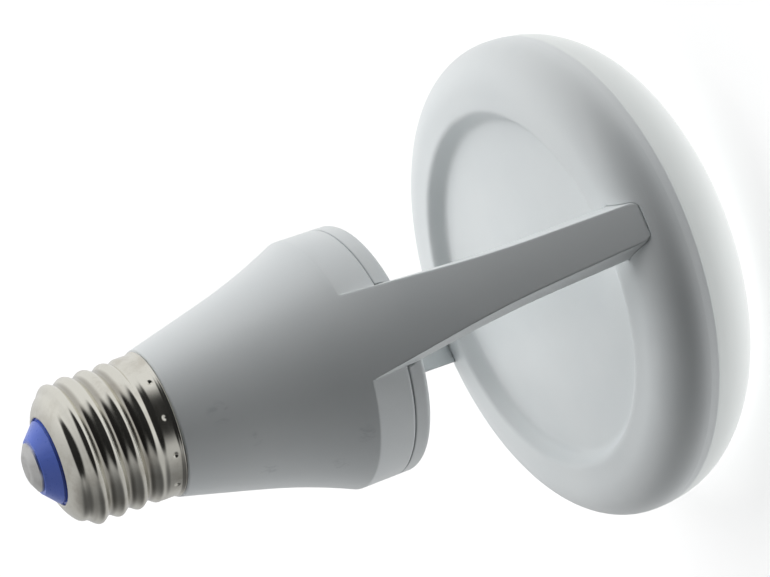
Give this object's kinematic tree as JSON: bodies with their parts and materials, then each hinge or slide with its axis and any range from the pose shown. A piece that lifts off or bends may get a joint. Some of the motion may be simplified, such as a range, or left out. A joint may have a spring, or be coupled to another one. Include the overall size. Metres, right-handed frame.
{
  "type": "led flood light bulb",
  "caption": "Reflector-shaped LED lamp: screw base, flaring cone, open arms carrying on its flare to a thin disc head with a recessed back and an opal front.",
  "frame": {"origin": "centre of the lens's flat front face, on which the lamp stands", "axes": "+Z along the lamp's axis from the lens towards the screw base; the arms lie along X"},
  "size_m": [0.095, 0.095, 0.1255],
  "materials": {
    "white_moulding": "fine moulded texture, satin",
    "lens_plastic": "opal, satin",
    "nickel": "bright nickel plating, lightly worn",
    "blue_insulator": "smooth, half gloss",
    "contact_metal": "dull tinned face with solder",
    "aluminium_sheet": "mill finish",
    "white_board": "white solder resist",
    "led_phosphor": "yellow phosphor in clear resin",
    "steel_screw": "zinc plated",
    "board_green": "solder resist",
    "ferrite": "sintered, matt",
    "bobbin_plastic": "moulded",
    "winding_tape": "yellow tape over copper wire",
    "copper_wire": "enamelled",
    "resistor_body": "lacquered",
    "can_sleeve": "shrunk sleeve",
    "film_box": "epoxy filled box",
    "chip_black": "moulded epoxy",
    "lead_white": "insulated wire",
    "lead_black": "insulated wire"
  },
  "bodies": {
    "root": {"housing": "white_moulding", "housing_cap": "white_moulding", "head_back_shell": "white_moulding", "lens": "lens_plastic", "screw_shell": "nickel", "base_insulator": "blue_insulator", "centre_contact": "contact_metal", "heat_spreader": "aluminium_sheet", "led_board": "white_board", "leds": "led_phosphor", "head_screws": "steel_screw", "driver_board": "board_green", "transformer_core": "ferrite", "transformer_bobbin": "bobbin_plastic", "transformer_winding": "winding_tape", "common_choke": "copper_wire", "fuse_resistor": "resistor_body", "input_capacitor": "can_sleeve", "output_capacitor": "can_sleeve", "film_capacitor": "film_box", "bridge_rectifier": "chip_black", "driver_chip": "chip_black", "output_diode": "chip_black", "output_lead_plus": "lead_white", "output_lead_minus": "lead_black", "live_lead": "lead_white", "shell_lead": "lead_black"}
  },
  "joints": []
}
